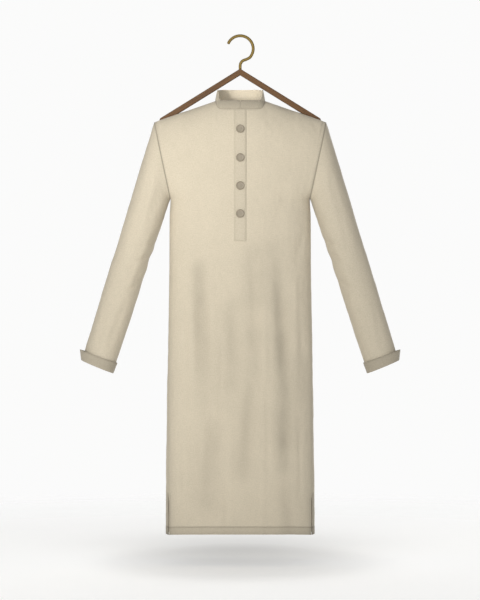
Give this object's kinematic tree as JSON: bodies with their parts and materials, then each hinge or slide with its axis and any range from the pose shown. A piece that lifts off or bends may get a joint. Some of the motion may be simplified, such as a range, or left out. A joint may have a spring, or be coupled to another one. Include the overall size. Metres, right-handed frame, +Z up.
{
  "type": "kurta on a hanger",
  "caption": "Long-sleeved cotton kurta, a south asian dress with a stand collar and buttoned placket, hanging from a wooden clothes hanger with a wire hook.",
  "frame": {"origin": "The inside top of the hook, where a rail carries it.", "axes": "+Z up along the height of the hanging kurta; +X to the right seen from the front, along the hanger's arms; +Y from the front to the back, so the placket and the buttons face -Y."},
  "size_m": [0.801, 0.143, 1.2484],
  "materials": {
    "cloth": "plain woven cream linen-cotton, matt",
    "trim": "the same cloth, a shade darker",
    "button": "satin, dished",
    "wood": "stained and satin varnished",
    "brass": "satin wire"
  },
  "bodies": {
    "root": {"front": "cloth", "back": "cloth", "sleeve_left": "cloth", "sleeve_right": "cloth", "cuff_left": "trim", "cuff_right": "trim", "collar": "trim", "placket": "trim", "button_1": "button", "button_2": "button", "button_3": "button", "button_4": "button", "hanger_arms": "wood", "hanger_hook": "brass"}
  },
  "joints": []
}
